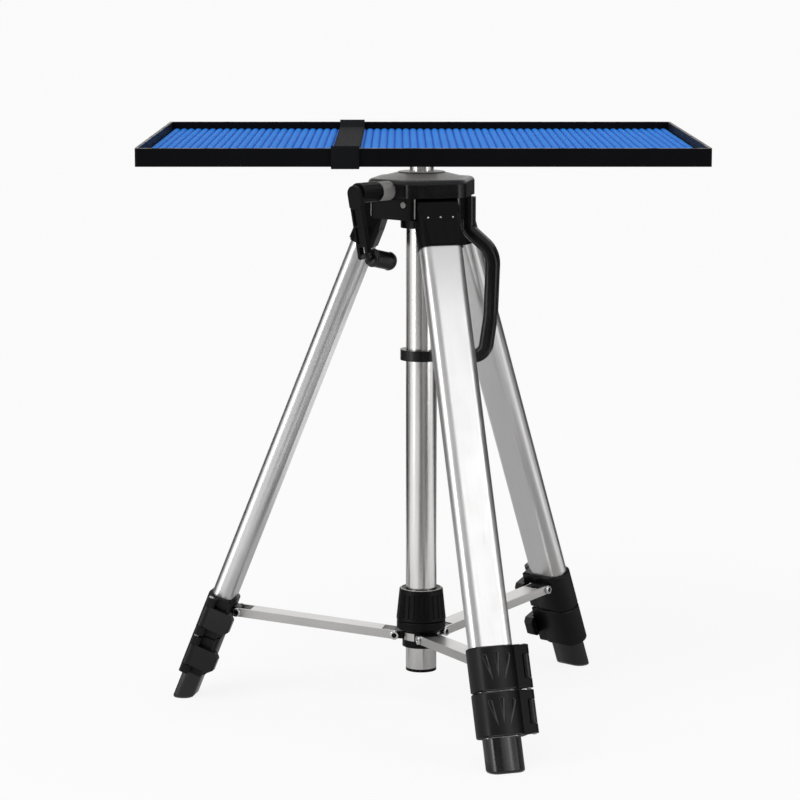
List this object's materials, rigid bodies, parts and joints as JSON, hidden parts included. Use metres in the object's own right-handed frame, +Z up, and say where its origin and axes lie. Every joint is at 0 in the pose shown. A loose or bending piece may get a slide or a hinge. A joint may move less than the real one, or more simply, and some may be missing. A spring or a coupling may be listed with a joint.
{
  "type": "projector tripod stand",
  "caption": "Portable tripod stand with a rimmed, padded top tray and strap on a crank-raised column, telescoping flip-lock legs and a folding centre brace.",
  "frame": {"origin": "on the floor, under the middle of the whole stand's bounding box", "axes": "+Z up, -Y towards the camera of the picture, +X to the right along the tray's long front rim"},
  "size_m": [0.45, 0.3936, 0.4964],
  "materials": {
    "tray_paint": "satin black",
    "blue_mat": "ribbed matt",
    "webbing": "woven matt",
    "bright_tube": "polished",
    "leg_aluminium": "satin anodised",
    "brace_aluminium": "satin",
    "black_plastic": "fine-grained",
    "gloss_black": "semi-gloss",
    "grey_metal": "satin",
    "foot_rubber": "smooth"
  },
  "bodies": {
    "spider": {"spider_body": "black_plastic", "spider_cap": "gloss_black", "spider_dome": "grey_metal", "crank_boss": "grey_metal", "carry_handle": "black_plastic", "centre_tube": "bright_tube", "tube_plug": "black_plastic"},
    "tray_lift": {"centre_column": "bright_tube", "tray_socket": "black_plastic", "tray_pan": "tray_paint", "tray_mat": "blue_mat", "tray_strap": "webbing"},
    "crank": {"crank_hub": "black_plastic", "crank_arm": "black_plastic"},
    "crank_grip": {"crank_grip": "gloss_black"},
    "brace_hub": {"brace_hub": "black_plastic"},
    "brace_knob": {"brace_knob": "black_plastic"},
    "brace_arm_1": {"brace_arm_1": "brace_aluminium"},
    "leg_1": {"leg_bracket_1": "black_plastic", "leg_tube_1": "leg_aluminium", "upper_clamp_1": "black_plastic"},
    "upper_lever_1": {"upper_lever_1": "black_plastic"},
    "leg_middle_1": {"middle_tube_1": "leg_aluminium", "lower_clamp_1": "black_plastic"},
    "lower_lever_1": {"lower_lever_1": "black_plastic"},
    "leg_foot_1": {"lower_tube_1": "leg_aluminium", "foot_1": "foot_rubber"},
    "brace_arm_2": {"brace_arm_2": "brace_aluminium"},
    "leg_2": {"leg_bracket_2": "black_plastic", "leg_tube_2": "leg_aluminium", "upper_clamp_2": "black_plastic"},
    "upper_lever_2": {"upper_lever_2": "black_plastic"},
    "leg_middle_2": {"middle_tube_2": "leg_aluminium", "lower_clamp_2": "black_plastic"},
    "lower_lever_2": {"lower_lever_2": "black_plastic"},
    "leg_foot_2": {"lower_tube_2": "leg_aluminium", "foot_2": "foot_rubber"},
    "brace_arm_3": {"brace_arm_3": "brace_aluminium"},
    "leg_3": {"leg_bracket_3": "black_plastic", "leg_tube_3": "leg_aluminium", "upper_clamp_3": "black_plastic"},
    "upper_lever_3": {"upper_lever_3": "black_plastic"},
    "leg_middle_3": {"middle_tube_3": "leg_aluminium", "lower_clamp_3": "black_plastic"},
    "lower_lever_3": {"lower_lever_3": "black_plastic"},
    "leg_foot_3": {"lower_tube_3": "leg_aluminium", "foot_3": "foot_rubber"}
  },
  "joints": [
    {"name": "column_lift", "type": "slide", "parent": "spider", "child": "tray_lift", "axis": [0, 0, 1], "range_m": [0, 0.25]},
    {"name": "crank_turn", "type": "hinge", "parent": "spider", "child": "crank", "pos_m": [-0.04532, -0.03575, 0.4495], "axis": [0.6665, 0.7455, 0], "range_deg": [0, 1001.72]},
    {"name": "crank_grip_fold", "type": "hinge", "parent": "crank", "child": "crank_grip", "pos_m": [-0.04693, -0.05376, 0.39864], "axis": [-0.7292, 0.652, -0.2079], "range_deg": [0, 168]},
    {"name": "brace_slide", "type": "slide", "parent": "spider", "child": "brace_hub", "axis": [0, 0, -1], "range_m": [-0.13145, 0]},
    {"name": "brace_knob_turn", "type": "hinge", "parent": "brace_hub", "child": "brace_knob", "pos_m": [0, 0.01494, 0.09], "axis": [0, 0, 1], "range_deg": [0, 120]},
    {"name": "brace_arm_1_swing", "type": "hinge", "parent": "brace_hub", "child": "brace_arm_1", "pos_m": [0.00671, -0.00548, 0.0645], "axis": [-0.95, -0.3123, 0], "range_deg": [-85.48, 0]},
    {"name": "leg_1_fold", "type": "hinge", "parent": "brace_arm_1", "child": "leg_1", "pos_m": [0.05067, -0.13915, 0.07801], "axis": [0.95, 0.3123, 0], "range_deg": [-67.48, 0]},
    {"name": "leg_1_middle_draw", "type": "slide", "parent": "leg_1", "child": "leg_middle_1", "axis": [0.1165, -0.3543, -0.9278], "range_m": [0, 0.27]},
    {"name": "leg_1_foot_draw", "type": "slide", "parent": "leg_middle_1", "child": "leg_foot_1", "axis": [0.1165, -0.3543, -0.9278], "range_m": [0, 0.27]},
    {"name": "upper_lever_1_flip", "type": "hinge", "parent": "leg_1", "child": "upper_lever_1", "pos_m": [0.08329, -0.15355, 0.07791], "axis": [0.1165, -0.3543, -0.9278], "range_deg": [0, 100]},
    {"name": "lower_lever_1_flip", "type": "hinge", "parent": "leg_middle_1", "child": "lower_lever_1", "pos_m": [0.08757, -0.16655, 0.04385], "axis": [0.1165, -0.3543, -0.9278], "range_deg": [0, 100]},
    {"name": "brace_arm_2_swing", "type": "hinge", "parent": "brace_hub", "child": "brace_arm_2", "pos_m": [0.01433, 0.03097, 0.0645], "axis": [0.7455, -0.6665, 0], "range_deg": [-85.48, 0]},
    {"name": "leg_2_fold", "type": "hinge", "parent": "brace_arm_2", "child": "leg_2", "pos_m": [0.10812, 0.13587, 0.07801], "axis": [-0.7455, 0.6665, 0], "range_deg": [-67.48, 0]},
    {"name": "leg_2_middle_draw", "type": "slide", "parent": "leg_2", "child": "leg_middle_2", "axis": [0.2486, 0.2781, -0.9278], "range_m": [0, 0.27]},
    {"name": "leg_2_foot_draw", "type": "slide", "parent": "leg_middle_2", "child": "leg_foot_2", "axis": [0.2486, 0.2781, -0.9278], "range_m": [0, 0.27]},
    {"name": "upper_lever_2_flip", "type": "hinge", "parent": "leg_2", "child": "upper_lever_2", "pos_m": [0.10427, 0.17132, 0.07791], "axis": [0.2486, 0.2781, -0.9278], "range_deg": [0, 100]},
    {"name": "lower_lever_2_flip", "type": "hinge", "parent": "leg_middle_2", "child": "lower_lever_2", "pos_m": [0.11339, 0.18153, 0.04385], "axis": [0.2486, 0.2781, -0.9278], "range_deg": [0, 100]},
    {"name": "brace_arm_3_swing", "type": "hinge", "parent": "brace_hub", "child": "brace_arm_3", "pos_m": [-0.02105, 0.01934, 0.0645], "axis": [0.2045, 0.9789, 0], "range_deg": [-85.48, 0]},
    {"name": "leg_3_fold", "type": "hinge", "parent": "brace_arm_3", "child": "leg_3", "pos_m": [-0.15879, 0.04812, 0.07801], "axis": [-0.2045, -0.9789, 0], "range_deg": [-67.48, 0]},
    {"name": "leg_3_middle_draw", "type": "slide", "parent": "leg_3", "child": "leg_middle_3", "axis": [-0.3651, 0.0763, -0.9278], "range_m": [0, 0.27]},
    {"name": "leg_3_foot_draw", "type": "slide", "parent": "leg_middle_3", "child": "leg_foot_3", "axis": [-0.3651, 0.0763, -0.9278], "range_m": [0, 0.27]},
    {"name": "upper_lever_3_flip", "type": "hinge", "parent": "leg_3", "child": "upper_lever_3", "pos_m": [-0.18756, 0.02706, 0.07791], "axis": [-0.3651, 0.0763, -0.9278], "range_deg": [0, 100]},
    {"name": "lower_lever_3_flip", "type": "hinge", "parent": "leg_middle_3", "child": "lower_lever_3", "pos_m": [-0.20096, 0.02986, 0.04385], "axis": [-0.3651, 0.0763, -0.9278], "range_deg": [0, 100]}
  ],
  "couplings": [
    {"joint": "crank_turn", "follows": "column_lift", "rad_per_m": 69.93},
    {"joint": "brace_arm_1_swing", "follows": "brace_slide", "rad_per_m": 11.348},
    {"joint": "leg_1_fold", "follows": "brace_slide", "rad_per_m": 8.9585},
    {"joint": "brace_arm_2_swing", "follows": "brace_slide", "rad_per_m": 11.348},
    {"joint": "leg_2_fold", "follows": "brace_slide", "rad_per_m": 8.9585},
    {"joint": "brace_arm_3_swing", "follows": "brace_slide", "rad_per_m": 11.348},
    {"joint": "leg_3_fold", "follows": "brace_slide", "rad_per_m": 8.9585}
  ]
}
